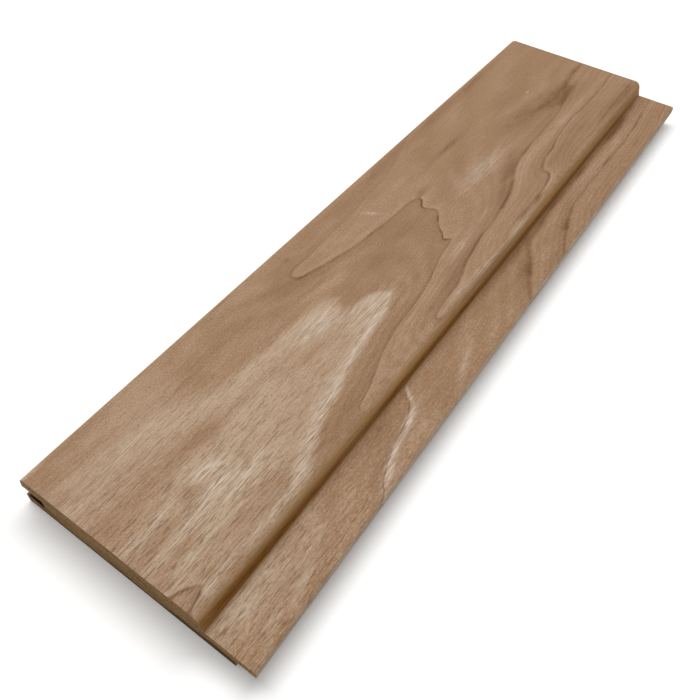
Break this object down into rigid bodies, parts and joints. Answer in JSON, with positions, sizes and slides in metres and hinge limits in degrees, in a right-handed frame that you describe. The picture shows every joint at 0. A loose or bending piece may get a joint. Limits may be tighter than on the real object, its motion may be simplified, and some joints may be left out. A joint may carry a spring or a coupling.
{
  "type": "tongue and groove board",
  "caption": "Planed wooden cladding board with rounded face edges, a stepped shadow-gap shelf and tongue along one edge and a matching groove in the other.",
  "frame": {"origin": "middle of the board's back, halfway along its length and across its whole width with the tongue", "axes": "+X along the grain, +Y out of the grooved edge with the tongue on -Y, +Z out of the face"},
  "size_m": [0.32, 0.09, 0.015],
  "materials": {
    "wood": "planed and brushed, heat-darkened, unvarnished"
  },
  "bodies": {
    "root": {"board": "wood"}
  },
  "joints": []
}
